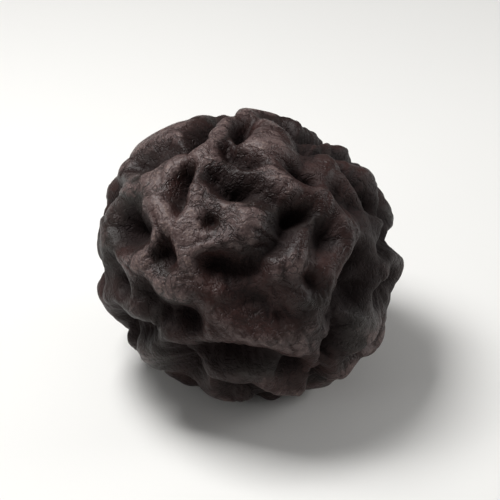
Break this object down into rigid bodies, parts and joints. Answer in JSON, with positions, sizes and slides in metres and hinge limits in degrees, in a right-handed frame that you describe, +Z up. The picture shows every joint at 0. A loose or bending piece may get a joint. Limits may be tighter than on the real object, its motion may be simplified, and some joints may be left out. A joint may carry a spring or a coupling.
{
  "type": "black peppercorn",
  "caption": "Dried black peppercorn: a small round berry, sunk in long pits with a net of wrinkles between them, with a stigma's button with a dimple and a stem scar at the far end, resting on a small flat spot.",
  "frame": {"origin": "middle of the flat spot that the peppercorn rests on", "axes": "+Z up, away from the surface it rests on; -Y towards the viewer of the picture, with the stigma's button on that side and the stem scar on the far side"},
  "size_m": [0.0051, 0.005, 0.0047],
  "materials": {
    "dried_skin": "dark brown-black dried skin, dull satin, paler and greyer on the crests of the wrinkles"
  },
  "bodies": {
    "root": {"peppercorn": "dried_skin"}
  },
  "joints": []
}
